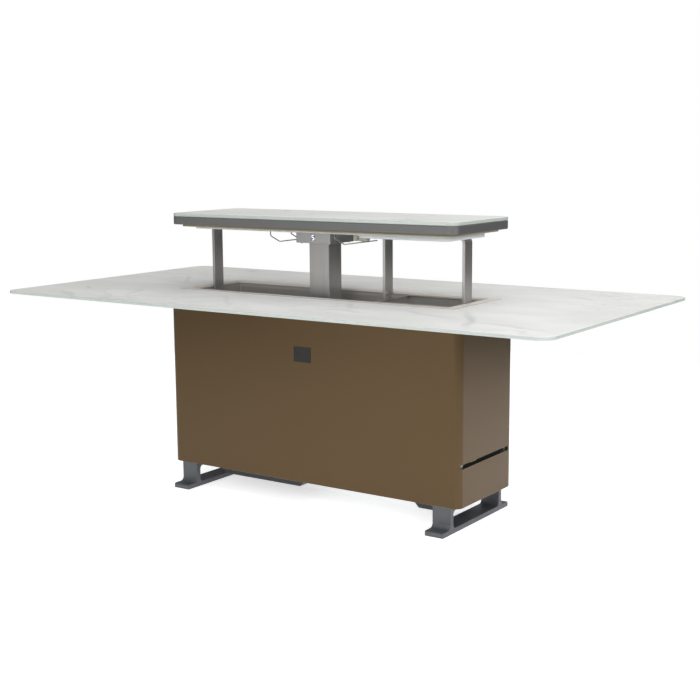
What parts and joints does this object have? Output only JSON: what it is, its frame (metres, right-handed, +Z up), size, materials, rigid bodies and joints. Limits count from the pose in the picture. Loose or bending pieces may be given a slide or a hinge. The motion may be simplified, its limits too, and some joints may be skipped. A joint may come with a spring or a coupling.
{
  "type": "refrigerator dining table",
  "caption": "Rectangular glass-topped dining table with a refrigerated well under a lid that rises on a central column, trays hung from the lid, over a slim cabinet on windowed feet.",
  "frame": {"origin": "on the floor, under the middle of the table top", "axes": "+X along the table's length towards the vent slot end seen in the picture, +Y towards the rear panel, +Z up"},
  "size_m": [2.21, 1.114, 1.031],
  "materials": {
    "marble_glass": "gloss",
    "trim_steel": "satin",
    "liner_steel": "satin",
    "break_plastic": "matte",
    "foam": "matte",
    "bronze_paint": "satin",
    "screw_steel": "satin",
    "black_sheet": "matte",
    "badge_black": "gloss",
    "galvanised": "satin",
    "frame_paint": "satin",
    "pad_rubber": "matte",
    "foot_grey": "satin",
    "tray_black": "matte",
    "coil_metal": "satin",
    "copper": "satin",
    "earth_green": "satin",
    "column_steel": "satin",
    "head_metal": "satin",
    "nut_brass": "satin",
    "display_tint": "gloss",
    "anodised_grey": "satin",
    "seal_tan": "matte",
    "plug_white": "satin",
    "hook_chrome": "polished"
  },
  "bodies": {
    "table": {"badge_plate": "badge_black", "base_pan": "galvanised", "cabinet_wrap": "bronze_paint", "chamber_liner": "liner_steel", "chassis_posts": "galvanised", "circulation_fan_frame": "tray_black", "column_guide": "galvanised", "compressor": "black_sheet", "compressor_grommets": "pad_rubber", "condenser": "coil_metal", "condenser_fan_frame": "tray_black", "control_box": "tray_black", "cross_tubes": "frame_paint", "earth_wire": "earth_green", "evaporator": "coil_metal", "evaporator_cover": "liner_steel", "foot_bolts": "screw_steel", "foot_left": "foot_grey", "foot_right": "foot_grey", "glass_pads": "pad_rubber", "guide_collar": "break_plastic", "insulation_foam": "foam", "lift_motor": "galvanised", "panel_screws": "screw_steel", "power_inlet": "tray_black", "rear_panel": "bronze_paint", "refrigerant_lines": "copper", "support_arms": "frame_paint", "tabletop_glass": "marble_glass", "thermal_break": "break_plastic", "top_rails": "frame_paint", "undertray_left": "tray_black", "undertray_right": "tray_black", "vent_baffles": "black_sheet", "well_trim": "trim_steel"},
    "lid": {"lid_glass": "marble_glass", "lid_frame": "anodised_grey", "lid_core": "foam", "lid_gasket": "seal_tan", "lid_plug": "plug_white", "lid_plug_block": "plug_white", "lift_column": "column_steel", "lift_nut": "nut_brass", "column_head": "head_metal", "temperature_display": "display_tint", "head_screws": "screw_steel", "hanger_left": "column_steel", "hanger_middle": "column_steel", "hanger_right": "column_steel", "tray_left": "liner_steel", "tray_right": "liner_steel", "tray_screws": "screw_steel", "glass_hook_left": "hook_chrome", "glass_hook_right": "hook_chrome"},
    "spindle": {"lift_spindle": "screw_steel"},
    "condenser_rotor": {"condenser_fan_rotor": "tray_black"},
    "circulation_rotor": {"circulation_fan_rotor": "tray_black"},
    "rocker": {"mains_rocker": "tray_black"}
  },
  "joints": [
    {"name": "lid_lift", "type": "slide", "parent": "table", "child": "lid", "axis": [0, 0, 1], "range_m": [-0.229, 0]},
    {"name": "spindle_spin", "type": "hinge", "parent": "table", "child": "spindle", "pos_m": [-0.038, 0, 0.2], "axis": [0, 0, 1], "range_deg": [-6870, 0]},
    {"name": "condenser_fan_spin", "type": "hinge", "parent": "table", "child": "condenser_rotor", "pos_m": [0.45, 0, 0.164], "axis": [1, 0, 0], "continuous": true},
    {"name": "circulation_fan_spin", "type": "hinge", "parent": "table", "child": "circulation_rotor", "pos_m": [0.19, 0, 0.54], "axis": [1, 0, 0], "continuous": true},
    {"name": "rocker_tilt", "type": "hinge", "parent": "table", "child": "rocker", "pos_m": [0.266, 0.1835, 0.15], "axis": [1, 0, 0], "range_deg": [-14, 0]}
  ],
  "couplings": [
    {"joint": "spindle_spin", "follows": "lid_lift", "rad_per_m": 523.6}
  ]
}
